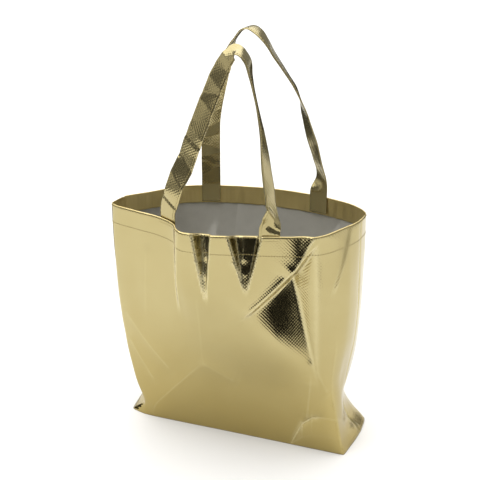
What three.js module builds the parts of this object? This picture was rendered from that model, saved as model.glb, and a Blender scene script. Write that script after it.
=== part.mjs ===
// A gift bag in the form of a small tote, with an open mouth and two long strap handles.
//
// The bag is cut from laminated non-woven cloth. The front wall, the base and the rear wall are one
// sheet, folded under the base, closed by a seam down the middle of each side, and boxed at the two
// ends of the base so that it stands up. The top edge is turned in as a hem, which traps the four
// ends of the two straps, and two rows of stitching go round it.
//
// Millimetres, +Z up. The origin is the middle of the base, on the surface that the bag stands on.
// +X is the bag's right as seen from the front, and the front faces -Y.
import * as THREE from "three";

// The bag folded flat, and the box that its base opens to.
const FLAT_WIDTH = 400;
const BASE_DEPTH = 90;
const BASE_WIDTH = FLAT_WIDTH - BASE_DEPTH;
const WALL_HEIGHT = 298;
// The open mouth. Its girth is twice the flat width.
const MOUTH_WIDTH = 326;
const MOUTH_DEPTH = 176;
const HEM = 26;
const HEM_LOW = WALL_HEIGHT - HEM;
// How square each outline is: the power of a superellipse, 2 for an ellipse.
const BASE_SQUARENESS = 12;
const MOUTH_SQUARENESS = 2.1;

// The cloth is drawn about twice as thick as the real sheet, so that each wall is a sound solid.
const CLOTH = 0.9;
const GAP = 0.35;
const THREAD = 0.8;
const SPLIT_GAP = 0.5; // degrees left between neighbouring pieces of the wall
const FACET = 4.5; // degrees round the wall that one flat facet covers, at most

const STRAP_WIDTH = 25;
const STRAP_THICKNESS = 1.1;
const STRAP_EDGE_INSET = 3; // from a strap's edge to its row of stitches

const STRAP_START = WALL_HEIGHT + 1.2;
const STRAP_RISE = 12; // the straight part above each foot
const STRAP_STEPS = 48;

const SEAM_ALLOWANCE = 8;
const CORNER = 47; // degrees from a side seam to the edge of the front or rear wall

// How far each layer's outer and inner faces are set in from the wall's outer face.
const LAYER = {
  thread: [-GAP - THREAD, -GAP],
  wall: [0, CLOTH],
  strap: [CLOTH + GAP, CLOTH + GAP + STRAP_THICKNESS],
  facing: [CLOTH + 2 * GAP + STRAP_THICKNESS, 2 * CLOTH + 2 * GAP + STRAP_THICKNESS],
};

const finish = {
  gold: new THREE.MeshStandardMaterial({ color: "#d6c37c", metalness: 1, roughness: 0.28 }),
  backing: new THREE.MeshStandardMaterial({ color: "#d9d7d2", metalness: 0, roughness: 0.9 }),
  thread: new THREE.MeshStandardMaterial({ color: "#c8b26a", metalness: 0, roughness: 0.6 }),
};

const bag = new THREE.Group();

function place(name, geometry, material) {
  const mesh = new THREE.Mesh(geometry, material);
  mesh.name = name;
  bag.add(mesh);
}

// The bag's outline at one height: a superellipse that goes from a near rectangle at the base to a
// near ellipse at the bottom of the hem, and keeps that shape through the hem.
function outline(z) {
  const up = z / WALL_HEIGHT;
  const belowHem = Math.max(0, 1 - z / HEM_LOW);
  return {
    halfWidth: THREE.MathUtils.lerp(BASE_WIDTH, MOUTH_WIDTH, up) / 2,
    halfDepth: THREE.MathUtils.lerp(BASE_DEPTH, MOUTH_DEPTH, up) / 2,
    power: MOUTH_SQUARENESS + (BASE_SQUARENESS - MOUTH_SQUARENESS) * belowHem ** 2,
  };
}

// A point of the wall at one height, set in from the outer face, in a direction that is given in
// degrees from +X towards +Y.
function wallPoint(degrees, z, inset) {
  const { halfWidth, halfDepth, power } = outline(z);
  const angle = THREE.MathUtils.degToRad(degrees);
  const c = Math.cos(angle);
  const s = Math.sin(angle);
  const reach = (Math.abs(c) ** power + Math.abs(s) ** power) ** (-1 / power);
  return new THREE.Vector3((halfWidth - inset) * c * reach, (halfDepth - inset) * s * reach, z);
}

// A closed solid between two grids of points: front(i, j) and back(i, j), for i and j from 0 to 1.
function slab(front, back, across, up) {
  const positions = [];
  const columns = across + 1;
  const layerSize = columns * (up + 1);
  for (const side of [front, back])
    for (let j = 0; j <= up; j++)
      for (let i = 0; i <= across; i++) positions.push(...side(i / across, j / up).toArray());
  const at = (layer, i, j) => layer * layerSize + j * columns + i;
  const faces = [];
  const quad = (a, b, c, d) => faces.push(a, b, c, a, c, d);
  for (let j = 0; j < up; j++)
    for (let i = 0; i < across; i++) {
      quad(at(0, i, j), at(0, i + 1, j), at(0, i + 1, j + 1), at(0, i, j + 1));
      quad(at(1, i, j), at(1, i, j + 1), at(1, i + 1, j + 1), at(1, i + 1, j));
    }
  for (let i = 0; i < across; i++) {
    quad(at(0, i + 1, 0), at(0, i, 0), at(1, i, 0), at(1, i + 1, 0));
    quad(at(0, i, up), at(0, i + 1, up), at(1, i + 1, up), at(1, i, up));
  }
  for (let j = 0; j < up; j++) {
    quad(at(0, 0, j), at(0, 0, j + 1), at(1, 0, j + 1), at(1, 0, j));
    quad(at(0, across, j + 1), at(0, across, j), at(1, across, j), at(1, across, j + 1));
  }
  const geometry = new THREE.BufferGeometry();
  geometry.setAttribute("position", new THREE.Float32BufferAttribute(positions, 3));
  geometry.setIndex(faces);
  return geometry;
}

// A piece of the wall, or of a layer that follows it: the directions and heights that it spans, and
// how far its outer and inner faces are set in.
function wallPiece([from, to], [low, high], [outer, inner], rows = 1) {
  const grid = (inset) => (i, j) =>
    wallPoint(THREE.MathUtils.lerp(from, to, i), THREE.MathUtils.lerp(low, high, j), inset);
  return slab(grid(outer), grid(inner), Math.ceil((to - from) / FACET), rows);
}

// ---- The base ----------------------------------------------------------------------------------
function basePanel() {
  const shape = new THREE.Shape();
  const steps = 48;
  for (let i = 0; i < steps; i++) {
    const p = wallPoint((360 * i) / steps, 0, GAP);
    if (i === 0) shape.moveTo(p.x, p.y);
    else shape.lineTo(p.x, p.y);
  }
  return new THREE.ExtrudeGeometry(shape, { depth: CLOTH, bevelEnabled: false });
}
place("base_panel", basePanel(), finish.gold);

// ---- The four walls ----------------------------------------------------------------------------
// The front and rear walls lean on the base's long folds. The side walls stay with the base, and
// each is two pieces that meet at its seam.
const WALL_FOOT = CLOTH + 2 * GAP;
const SIDES = {
  front: [-180 + CORNER, -CORNER],
  rear: [CORNER, 180 - CORNER],
};
const SIDE_WALLS = {
  right_side_front: [-CORNER, 0],
  right_side_rear: [0, CORNER],
  left_side_rear: [180 - CORNER, 180],
  left_side_front: [180, 180 + CORNER],
};

const WALL_ROWS = 12;
const SEAM_SPLIT = 0.15; // degrees from a side seam to the edge of each half
const shrink = ([from, to], by) => [from + by, to - by];

for (const [side, arc] of Object.entries(SIDES))
  place(
    `${side}_panel`,
    wallPiece(shrink(arc, SPLIT_GAP), [WALL_FOOT, WALL_HEIGHT], LAYER.wall, WALL_ROWS),
    finish.gold,
  );
for (const [name, arc] of Object.entries(SIDE_WALLS))
  place(
    name,
    wallPiece(shrink(arc, SEAM_SPLIT), [WALL_FOOT, WALL_HEIGHT], LAYER.wall, WALL_ROWS),
    finish.gold,
  );

// ---- The hem: the top edge turned in, and the two rows of stitches round it ----------------------
const HEM_TRIM = 2.5; // degrees that the turned-in edge stops short of a moving wall's ends
const HEMS = {
  front: shrink(SIDES.front, HEM_TRIM),
  rear: shrink(SIDES.rear, HEM_TRIM),
  left: shrink([180 - CORNER, 180 + CORNER], SPLIT_GAP),
  right: shrink([-CORNER, CORNER], SPLIT_GAP),
};
const RIM_ROW = WALL_HEIGHT - 3;
const HEM_ROW = HEM_LOW + 2;
for (const [side, arc] of Object.entries(HEMS)) {
  place(
    `${side}_hem_facing`,
    wallPiece(arc, [HEM_LOW, WALL_HEIGHT - GAP], LAYER.facing),
    finish.gold,
  );
  const rows = { rim: RIM_ROW, hem: HEM_ROW };
  for (const [row, z] of Object.entries(rows))
    place(
      `${side}_${row}_stitch`,
      wallPiece(shrink(arc, SPLIT_GAP), [z, z + THREAD], LAYER.thread),
      finish.thread,
    );
}

// ---- The side seams: the sheet's edges turned in and sewn together, and their thread --------------
// A strip that stands in from a side seam: how far in from the outer face it starts and ends, its
// two faces in Y, and the heights it runs between.
function seamStrip(direction, [near, far], [low, high], [bottom, top]) {
  const side = direction === 0 ? 1 : -1;
  const face = (y) => (i, j) => {
    const edge = wallPoint(direction, THREE.MathUtils.lerp(bottom, top, i), 0);
    edge.x -= side * THREE.MathUtils.lerp(near, far, j);
    edge.y = y;
    return edge;
  };
  return side > 0 ? slab(face(low), face(high), 8, 1) : slab(face(high), face(low), 8, 1);
}
const SEAM_HIGH = HEM_LOW - GAP;
const ALLOWANCE_FROM = CLOTH + GAP;
const SEAM_ROW = ALLOWANCE_FROM + 1.5; // the row of stitches, just inside the wall
for (const [side, direction] of [["right", 0], ["left", 180]]) {
  const allowance = [ALLOWANCE_FROM, ALLOWANCE_FROM + SEAM_ALLOWANCE];
  place(
    `${side}_seam_allowance`,
    seamStrip(direction, allowance, [-CLOTH, CLOTH], [WALL_FOOT, SEAM_HIGH]),
    finish.backing,
  );
  const row = [SEAM_ROW, SEAM_ROW + THREAD];
  const front = -CLOTH - GAP;
  place(
    `${side}_seam_stitch`,
    seamStrip(direction, row, [front - THREAD, front], [WALL_FOOT + 3, SEAM_HIGH - 3]),
    finish.thread,
  );
}

// ---- The boxed corners: a short seam across each end of the base ---------------------------------
const CORNER_ROW = [WALL_FOOT + 2, WALL_FOOT + 2 + THREAD];
const CORNER_SPAN = 40; // degrees from a side seam to each end of the row
for (const [side, direction] of [["right", 0], ["left", 180]])
  place(
    `${side}_corner_stitch`,
    wallPiece([direction - CORNER_SPAN, direction + CORNER_SPAN], CORNER_ROW, LAYER.thread),
    finish.thread,
  );

// ---- The strap handles -------------------------------------------------------------------------
// Each strap is a folded ribbon, sewn flat into the hem at its two feet. Its legs lean to a peak and
// turn on the way, so that it bends the easy way, over its face, at the top. Each point between the
// feet gives the middle of the strap and where its outer face looks.
const STRAPS = {
  front: {
    feet: [-116.5, -67.5],
    between: [
      { at: [-68, -74, 325], look: [-0.3, -0.95, 0] },
      { at: [-46, -69, 385], look: [-0.28, -0.95, 0.1] },
      { at: [-21, -64, 445], look: [-0.4, -0.9, 0.2] },
      { at: [0, -60, 494], look: [-0.6, -0.5, 0.6] },
      { at: [12, -60, 507], look: [0, -0.2, 1] },
      { at: [24, -60, 491], look: [0.85, -0.1, 0.5] },
      { at: [37, -64, 440], look: [1, -0.1, 0.1] },
      { at: [49, -69, 380], look: [0.97, -0.25, 0.1] },
      { at: [58, -74, 325], look: [0.7, -0.7, 0] },
    ],
  },
  rear: {
    feet: [114.7, 61],
    between: [
      { at: [-66, 74, 330], look: [-0.3, 0.95, 0] },
      { at: [-56, 69, 385], look: [-0.5, 0.85, 0.1] },
      { at: [-38, 64, 445], look: [-0.85, 0.5, 0.2] },
      { at: [-18, 60, 500], look: [-0.7, 0.1, 0.7] },
      { at: [-3, 60, 513], look: [0, 0, 1] },
      { at: [16, 60, 500], look: [0.7, 0.1, 0.7] },
      { at: [41, 64, 445], look: [0.9, 0.4, 0.2] },
      { at: [60, 69, 385], look: [0.85, 0.55, 0.1] },
      { at: [73, 74, 330], look: [0.5, 0.85, 0] },
    ],
  },
};

// Where a strap leaves the hem in one direction, midway through its layer and looking out of the
// wall, and a point straight above it, so that it leaves upright.
function strapFoot(degrees) {
  const inset = (LAYER.strap[0] + LAYER.strap[1]) / 2;
  const foot = wallPoint(degrees, STRAP_START, inset);
  const along = wallPoint(degrees + 1, STRAP_START, inset).sub(foot);
  const look = [along.y, -along.x, 0];
  const above = [foot.x, foot.y, foot.z + STRAP_RISE];
  return [{ at: foot.toArray(), look }, { at: above, look }];
}

// The frame of a strap at one share of its length: its middle, and unit vectors across and out.
function strapFrame({ feet, between }) {
  const route = [...strapFoot(feet[0]), ...between, ...strapFoot(feet[1]).reverse()];
  const points = route.map(({ at }) => new THREE.Vector3(...at));
  const looks = route.map(({ look }) => new THREE.Vector3(...look).normalize());
  const middle = new THREE.CatmullRomCurve3(points, false, "centripetal");
  const facing = new THREE.CatmullRomCurve3(looks, false, "centripetal");
  return (share) => {
    const along = middle.getTangent(share);
    const across = new THREE.Vector3().crossVectors(along, facing.getPoint(share)).normalize();
    const out = new THREE.Vector3().crossVectors(across, along).normalize();
    return { point: middle.getPoint(share), across, out };
  };
}

// A ribbon along a strap: the first and last of the strap's steps that it covers, its edges from the
// middle, and its two faces.
function ribbon(frame, [first, last], [left, right], [inner, outer], across) {
  const face = (depth) => (i, j) => {
    const at = frame(THREE.MathUtils.lerp(first, last, i) / STRAP_STEPS);
    at.point.addScaledVector(at.across, THREE.MathUtils.lerp(left, right, j));
    return at.point.addScaledVector(at.out, depth);
  };
  return slab(face(inner), face(outer), last - first, across);
}

const HALF_STRAP = STRAP_WIDTH / 2;
const HALF_THICK = STRAP_THICKNESS / 2;
const EDGE_ROW = [HALF_STRAP - STRAP_EDGE_INSET - THREAD, HALF_STRAP - STRAP_EDGE_INSET];
const EDGE_ROW_OUT = [HALF_THICK + GAP, HALF_THICK + GAP + THREAD];
for (const [side, strap] of Object.entries(STRAPS)) {
  const frame = strapFrame(strap);
  place(
    `${side}_strap`,
    ribbon(frame, [0, STRAP_STEPS], [-HALF_STRAP, HALF_STRAP], [-HALF_THICK, HALF_THICK], 6),
    finish.gold,
  );
  place(
    `${side}_strap_edge_stitch`,
    ribbon(frame, [1, STRAP_STEPS - 1], EDGE_ROW, EDGE_ROW_OUT, 1),
    finish.thread,
  );
}

// The straps' four ends lie inside the hem, between the wall and its turned-in edge, and each is
// held by a short row of stitches of its own.
const FOOT_LOW = HEM_LOW + 4;
const FOOT_SPAN = 4.7; // degrees from a foot's middle to its edge
const FOOT_ROW = WALL_HEIGHT - 9;
const FEET = {
  front_left: STRAPS.front.feet[0],
  front_right: STRAPS.front.feet[1],
  rear_left: STRAPS.rear.feet[0],
  rear_right: STRAPS.rear.feet[1],
};
for (const [foot, direction] of Object.entries(FEET)) {
  const arc = [direction - FOOT_SPAN, direction + FOOT_SPAN];
  place(
    `${foot}_strap_end`,
    wallPiece(arc, [FOOT_LOW, WALL_HEIGHT - GAP], LAYER.strap),
    finish.gold,
  );
  place(
    `${foot}_foot_stitch`,
    wallPiece(arc, [FOOT_ROW, FOOT_ROW + THREAD], LAYER.thread),
    finish.thread,
  );
}

export default bag;
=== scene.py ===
# %% [markdown]
# # A gold gift bag with two strap handles
# The real bag is sewn from one sheet of non-woven cloth with a metallised gold film laminated to its
# outside. It has no frame, so what one sees is how thin, springy sheet stands up: nearly flat facets
# that meet in sharp creases, and a mirror-like face that shows the room.
# The imported CAD model is the frame that every new piece is placed in.

import math

import bmesh
import bpy
import numpy as np
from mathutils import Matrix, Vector


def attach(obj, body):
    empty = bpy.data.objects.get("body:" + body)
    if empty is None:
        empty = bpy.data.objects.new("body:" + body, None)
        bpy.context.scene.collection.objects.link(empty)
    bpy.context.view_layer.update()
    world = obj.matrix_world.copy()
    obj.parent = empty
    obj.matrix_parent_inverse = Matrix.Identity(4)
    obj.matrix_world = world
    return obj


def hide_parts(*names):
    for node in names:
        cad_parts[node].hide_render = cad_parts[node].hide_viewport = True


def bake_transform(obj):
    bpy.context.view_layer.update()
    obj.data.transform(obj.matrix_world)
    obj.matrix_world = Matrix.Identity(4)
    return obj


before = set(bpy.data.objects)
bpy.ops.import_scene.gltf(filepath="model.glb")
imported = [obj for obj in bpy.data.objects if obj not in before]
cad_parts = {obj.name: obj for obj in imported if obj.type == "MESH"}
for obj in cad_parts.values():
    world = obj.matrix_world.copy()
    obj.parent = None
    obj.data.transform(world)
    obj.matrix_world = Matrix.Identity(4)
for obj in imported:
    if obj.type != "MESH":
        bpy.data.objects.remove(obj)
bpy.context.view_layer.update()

# %% [markdown]
# ## The camera
# A long lens keeps the bag's upright lines nearly parallel. It could be aimed by eye in the viewport;
# stating the turn, the pitch and the distance round a target keeps the view repeatable.

# %% The camera, aimed from its turn, pitch and distance
TURN, PITCH, DISTANCE = math.radians(20.09), math.radians(21.76), 1.2623
TARGET = Vector((-0.0039, 0.0, 0.2511))
level = math.cos(PITCH)
back = Vector((math.sin(TURN) * level, -math.cos(TURN) * level, math.sin(PITCH)))
camera_data = bpy.data.cameras.new("camera")
camera_data.lens, camera_data.sensor_width = 75, 36  # mm
camera = bpy.data.objects.new("camera", camera_data)
camera.location = TARGET + back * DISTANCE
camera.rotation_mode = "QUATERNION"
camera.rotation_quaternion = (-back).to_track_quat("-Z", "Y")
camera_data.clip_end = 50
bpy.context.scene.collection.objects.link(camera)
bpy.context.scene.camera = camera
print("camera at, mm:", [round(1000 * x) for x in camera.location])


# %% [markdown]
# ## The body as a loft
# The sheet stands as a shell that goes from a near rectangle on the table to a skewed, open mouth.
# One could push and pull a box by hand or drape a cloth simulation, but neither keeps the hem level
# and the corners where they are. Here a few outlines are drawn at set heights, every outline has its
# points at the same places along the cloth, and one smooth surface is passed through them all.
# Along the cloth is called s, in millimetres: 0 is the middle of the front, and the side seams are at
# -200 and 200. The rear runs on from 200 to 600, which is -200 again. Up the cloth is called h.

# %% The outlines of the body, in millimetres, from the table to the rim
HALF_GIRTH = 200.0
RIM = 296.0
ALONG = [-200, -180, -163, -157, -120, -86, -58, -50, -40, -16, 20, 66, 101, 136, 150, 170]
ALONG += [200, 228, 245, 262, 300, 352, 405, 455, 515, 545, 557, 580]
LEVELS = {
    0: "-149,-2 -147,-24 -144.5,-40.5 -123,-48.2 -103,-49.3 -78,-49.6 -53,-49.8 -46,-49.8 "
    "-37,-49.8 -16,-49.8 19,-50 64,-50.4 98,-50.8 137,-51.2 153,-51.2 157.5,-27 161,8 "
    "160.5,30 157,44.5 140,47 104,47.5 57,48 0,48 -50,48 -104,47.5 -136,47.2 -148,45 -150,22",
    17: "-141,-1 -132,-22 -124.5,-41 -122.5,-47 -107,-50.3 -79,-52 -54,-53 -47,-53.2 "
    "-38,-53.3 -16,-53.5 19,-53.6 64,-53.6 97,-53.4 131.5,-52.4 147,-48 149,-27 148,6 "
    "146,28 139,43 126,48 104,50 57,51.5 0,52 -50,51.5 -104,49.5 -128,46.5 -136,42 -142,20",
    48: "-144,0 -141,-22 -136,-40 -132,-46.3 -110,-52 -80,-55.5 -55,-57.5 -48,-57.8 "
    "-38,-58 -16,-58.4 19,-58.5 64,-57.5 97,-56 128,-53 141,-45.5 143.5,-26 137,3 "
    "131,27 124,42 118,48 104,52 57,55.5 0,57 -50,56 -105,52 -131,46 -138,40 -146,20",
    80: "-149,0 -148,-22 -144,-39.5 -139.5,-45.5 -112,-53 -81,-58.5 -55,-61.5 -48,-62 "
    "-38.5,-62.6 -16,-63.4 19,-63.5 64,-62 97,-59.3 126,-52.5 134,-43 139,-25 140,2 "
    "139,27 134,41 126,48.5 105,54.5 57,61 0,63 -50,62 -106,55.5 -133,46 -142,38 -150,20",
    150: "-156,0 -156,-22 -155,-39 -149,-45.5 -117,-57 -84,-66 -57,-71.5 -50,-72.6 "
    "-40,-75 -17,-78.5 19,-80.5 64,-79 97,-69.5 127,-54 137,-44 146,-26 150,3 148,29 "
    "142,42 133,49.5 107,61 58,71 0,75 -50,73 -108,60 -136,46.5 -146,38 -155,20",
    220: "-160.5,-4 -160,-24 -159,-40 -154,-46.5 -120,-58 -87,-67.5 -60,-78 -52,-81.5 "
    "-42,-85.5 -18,-88.5 18,-88 64,-82 98,-70.5 127,-54 137,-42.5 147,-24 151,3 150,29 "
    "144,43 134,52.5 107,66.5 59,79 0,84 -50,81.5 -110,65.5 -136,46 -146,36 -158,14",
    296: "-161.5,-8 -161,-27 -160,-41 -156,-46 -120,-59.5 -86,-68 -60,-80 -53,-86 "
    "-42,-90.5 -17,-92 18,-90.5 63,-83 95,-72 125.5,-53.5 133.5,-39 142,-20 149.5,3 "
    "150.5,27 143,42 131.5,54 106,68.5 58,82 0,87 -50,84 -112,64.5 -134,41 -142,31 -155,10",
}
# The rim isn't level: each pair is a place along the cloth and how far the rim sinks there. The cloth
# below sinks less and less, down to a height of DIP_FROM.
DIP_FROM = 150.0
RIM_DIPS = [(-200, 3), (-163, 0), (-86, 0), (-58, 2), (-40, 6.2), (-16, 6), (20, 3.5), (66, 1.0)]
RIM_DIPS += [(101, 0.5), (150, -1), (200, -1), (262, 1), (405, 2.5), (515, 6), (557, 6.5)]

outlines = np.array([[p.split(",") for p in row.split()] for row in LEVELS.values()]).astype(float)
heights = np.array(list(LEVELS), float)
print("outlines:", outlines.shape[0], "with", outlines.shape[1], "points each")
for z, row in zip(heights, outlines):
    girth = np.linalg.norm(np.roll(row, -1, 0) - row, axis=1).sum()
    print(f"  height {z:.0f} mm: girth {girth:.0f} mm of the cloth's 800")


# %% One curve through given points
def hermite(t, gap, start, slope_start, end, slope_end):
    """The cubic that leaves start and reaches end with the given slopes, as t goes from 0 to 1."""
    return (
        (2 * t**3 - 3 * t**2 + 1) * start
        + (t**3 - 2 * t**2 + t) * gap * slope_start
        + (3 * t**2 - 2 * t**3) * end
        + (t**3 - t**2) * gap * slope_end
    )


def through(x, knots, values, period=None):
    """A smooth curve through the values at the knots: cubic pieces whose slope at each knot is that of
    the parabola through it and its two neighbours, held to about 1.6 times the gentler of the two
    sides so that it doesn't overshoot at a corner. A periodic curve joins its own end."""
    knots, values = np.asarray(knots, float), np.asarray(values, float)
    if period:
        x = (x - knots[0]) % period + knots[0]
        knots = np.concatenate([knots[-1:] - period, knots, knots[:2] + period])
        values = np.concatenate([values[-1:], values, values[:2]])
    gap = np.diff(knots)
    wide = gap.reshape(-1, *[1] * (values.ndim - 1))
    rise = np.diff(values, axis=0) / wide
    inner = (rise[:-1] * wide[1:] + rise[1:] * wide[:-1]) / (wide[:-1] + wide[1:])
    most = 1.6 * np.minimum(abs(rise[:-1]), abs(rise[1:])) + 0.02
    inner = np.clip(inner, -most, most)
    slope = np.concatenate([rise[:1], inner, rise[-1:]])
    i = np.clip(np.searchsorted(knots, x, side="right") - 1, 0, len(gap) - 1)
    shape = (*np.shape(x), *[1] * (values.ndim - 1))
    t = ((x - knots[i]) / gap[i]).reshape(shape)
    return hermite(t, gap[i].reshape(shape), values[i], slope[i], values[i + 1], slope[i + 1])


def smooth(x, low=0.0, high=1.0):
    """0 below low and 1 above high, with a smooth step 3t^2 - 2t^3 between them."""
    t = np.clip((x - low) / (high - low), 0, 1)
    return t * t * (3 - 2 * t)


def loft(s, h):
    """The body before it creases: at each s, the outlines' points are joined up by one smooth curve in
    height. The height is lowered towards the rim by the rim's dips."""
    s, h = np.broadcast_arrays(np.asarray(s, float), np.asarray(h, float))
    rows = through(s, ALONG, np.moveaxis(outlines, 0, 1), period=4 * HALF_GIRTH)
    dips = np.array(RIM_DIPS, float)
    dip = through(s, dips[:, 0], dips[:, 1], period=4 * HALF_GIRTH)
    gap = np.diff(heights)
    at = np.clip(h, 0, None)
    i = np.clip(np.searchsorted(heights, at, side="right") - 1, 0, len(gap) - 1)
    rise = np.diff(rows, axis=-2) / gap[:, None]
    inner = rise[..., :-1, :] * gap[1:, None] + rise[..., 1:, :] * gap[:-1, None]
    inner = inner / (gap[:-1] + gap[1:])[:, None]
    slope = np.concatenate([rise[..., :1, :], inner, rise[..., -1:, :]], axis=-2)
    pick = lambda table, k: np.take_along_axis(table, k[..., None, None], axis=-2)[..., 0, :]
    t = ((at - heights[i]) / gap[i])[..., None]
    ends = [pick(table, k) for k in (i, i + 1) for table in (rows, slope)]
    xy = hermite(t, gap[i][..., None], *ends)
    z = at - dip * smooth(at, DIP_FROM, RIM)
    return np.concatenate([xy, z[..., None]], axis=-1)


def outward(surface, s, h, step=0.8):
    """Unit normals of a surface of s and h, from the cross product of its two slopes."""
    along = surface(s + step, h) - surface(s - step, h)
    up = surface(s, h + step) - surface(s, h - step)
    n = np.cross(along, up)
    return n / np.maximum(np.linalg.norm(n, axis=-1, keepdims=True), 1e-9)


# %% [markdown]
# ## Creases and dents
# Laminated cloth doesn't stretch, so it can't dimple like rubber: it breaks into flat facets along
# straight lines. A sculpting brush gives soft bumps, which is the wrong look. Each fault is written
# instead as a small function of distance from a line: a ridge that falls away on both sides, a step,
# or a dent whose floor is one flat facet inside a triangle. All of them push the loft in or out.

# %% Ridges, steps and dents, as functions of place on the cloth
def wrap(s):
    """s brought into the range from -200 to 600."""
    return (s + HALF_GIRTH) % (4 * HALF_GIRTH) - HALF_GIRTH


def across(s, h, a, b):
    """Signed distance from the line a-b, positive on its left, and the share of the way along it."""
    (ax, ay), (bx, by) = a, b
    dx, dy = bx - ax, by - ay
    long = math.hypot(dx, dy)
    share = ((s - ax) * dx + (h - ay) * dy) / long**2
    return (dx * (h - ay) - dy * (s - ax)) / long, share


def ridge(s, h, a, b, height, width, fade=0.12):
    """A fold line: height times e^(-distance/width), with a narrow round top, fading at its ends."""
    e, t = across(s, h, a, b)
    rounded = np.sqrt(e * e + 0.8)
    return height * np.exp(-rounded / width) * smooth(t, -fade, fade) * smooth(-t, -1 - fade, -1 + fade)


def step(s, h, a, b, height, width, reach, fade=0.1):
    """The cloth left of the line a-b stands out by height. The slope up to it is width wide at a and
    narrows towards b; beyond, the cloth falls back to nothing over reach."""
    e, t = across(s, h, a, b)
    half = width / 2 * (1 - 0.7 * np.clip(t, 0, 1))
    profile = smooth(e / half, -1, 1) * np.exp(-np.clip(e, 0, None) / reach)
    return height * profile * smooth(t, -fade, fade) * smooth(-t, -1 - fade, -1 + fade)


def dent(s, h, floor, walls, soft=1.2):
    """A dent with flat facets. The depth is the least of several slopes: each is a steepness times the
    distance inside one edge. Floor and walls are (start, end, steepness), inside on the left."""
    depths = [k * across(s, h, a, b)[0] for a, b, k in (floor, *walls)]
    least = -soft * np.log(sum(np.exp(-np.clip(d, -40, 80) / soft) for d in depths))
    return -soft * np.logaddexp(0, least / soft)


def hollow(s, h, middle, depth, wide, tall):
    """A shallow oval hollow: depth times a bell curve of the distance from its middle."""
    return -depth * np.exp(-(((s - middle[0]) / wide) ** 2 + ((h - middle[1]) / tall) ** 2))


# The lip of cloth over the boxed corner at the bottom right, as places along the cloth and heights
# above the table, and the same for the rear corner on the left.
LIP = [(84, -6), (92, 12), (104, 36), (118, 47), (136, 50), (155, 44), (176, 30), (200, 20), (215, 4)]
LIP_REAR = [(560, -6), (548, 16), (530, 34), (510, 40), (495, 30), (480, -6)]


def pillow(s, h, lip, height):
    """The cloth below the lip bulges: steep under the lip, then falling away to the table. A narrow
    tuck runs along the lip itself, and is nearly gone round the corner of the base."""
    line = np.array(sorted(lip), float)
    top = np.interp(s, line[:, 0], line[:, 1])
    inside = np.clip((top - h) / np.maximum(top, 1), 0, 1)
    wide = smooth(s, line[0, 0], line[0, 0] + 22) * smooth(-s, -line[-1, 0], -line[-1, 0] + 22)
    bulge = height * smooth(inside, 0, 0.55) * (1 - 0.7 * smooth(inside, 0.5, 1))
    tuck = -2.3 * np.exp(-np.sqrt((h - top) ** 2 + 0.6) / 4.0) * (top > 0)
    tuck = tuck * (1 - 0.8 * smooth(np.abs(s), 120, 138))
    return (bulge + tuck) * wide


# %% Every fault of this bag's cloth, in millimetres
# Each ridge: its two ends on the cloth, how far it stands out, and its width. The order is: the fold
# above the large dent, its run on to the rim, the short creases inside the two narrow dents, the lines
# that the front was packed flat along, the corner folds that stand up from the base, and the rear.
RIDGES = [
    ((38, 191), (92, 251), 4.0, 6.5),
    ((91, 248), (123, 304), 6.0, 11.0),
    ((31, 300), (33, 262), 1.6, 2.6),
    ((20, 262), (36, 244), 0.8, 2.0),
    ((-24, 262), (-15, 236), 0.9, 2.2),
    ((-22, 300), (-14, 262), 1.8, 2.6),
    ((-26, 205), (-29, 106), 0.7, 9),
    ((-29, 106), (-128, 8), 1.5, 16),
    ((-29, 106), (14, 86), 1.0, 12),
    ((116, 104), (111, 46), 1.4, 10),
    ((142, 84), (118, 128), 1.0, 10),
    ((-150, 150), (-84, 84), 1.8, 12),
    ((-152, 112), (-112, 60), 1.4, 8),
    ((-104, 250), (-112, 160), 0.8, 12),
    ((-160, 300), (-159, 30), 1.6, 5),
    ((150, 150), (150, 2), 1.3, 8),
    ((245, 150), (246, 2), 2.0, 7),
    ((555, 200), (555, 2), 2.0, 7),
    ((400, 290), (404, 108), 0.8, 12),
    ((404, 108), (506, 8), 1.6, 16),
    ((404, 108), (300, 10), 1.6, 16),
    ((440, 300), (452, 190), 1.2, 6),
    ((352, 200), (322, 120), 1.6, 7),
]
# Each dent: its floor, its two walls and how soft its edges are. First the large dent of the front
# wall, under its overhanging fold, then the two narrow ones below the rim, then the rear's long one.
DENTS = [
    (((40, 185), (115, 118), 0.35), ((124, 112), (120, 268), 0.95), ((93, 252), (36, 188), 2.4), 1.4),
    (((14, 224), (60, 224), 0.21), ((38, 221), (57, 300), 2.4), ((14, 300), (36, 221), 2.2), 0.6),
    (((-38, 207), (4, 207), 0.18), ((-13, 206), (-7, 300), 3.0), ((-31, 300), (-15, 206), 2.6), 0.6),
    (((440, 120), (512, 176), 0.24), ((514, 172), (470, 246), 0.9), ((472, 250), (436, 124), 1.1), 1.5),
]
# Each step: its ends, height, slope width and reach. The first is the pleat beside the front left strap.
STEPS = [
    ((-51, 302), (-56, 198), 5.0, 13, 34, 0.3),
    ((173, 300), (143, 220), 1.1, 14, 18),
    ((300, 262), (352, 200), 2.2, 6, 24),
]


def creases(s, h):
    """How far the cloth stands out from the loft, in millimetres: the sum of all the faults, less a
    shallow groove along each side seam."""
    s = wrap(s)
    out = sum(ridge(s, h, *given) for given in RIDGES)
    out = out + sum(step(s, h, *given) for given in STEPS)
    for floor, left, right, soft in DENTS:
        out += dent(s, h, floor, (left, right), soft)
    out += hollow(s, h, (106, 290), 2.0, 9.5, 30)
    out += pillow(s, h, LIP, 1.6)
    out += pillow(s, h, LIP_REAR, 4.0)
    for seam in (-HALF_GIRTH, HALF_GIRTH, 3 * HALF_GIRTH):
        out -= 1.1 * np.exp(-np.abs(s - seam) / 1.6)
    return out


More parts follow.
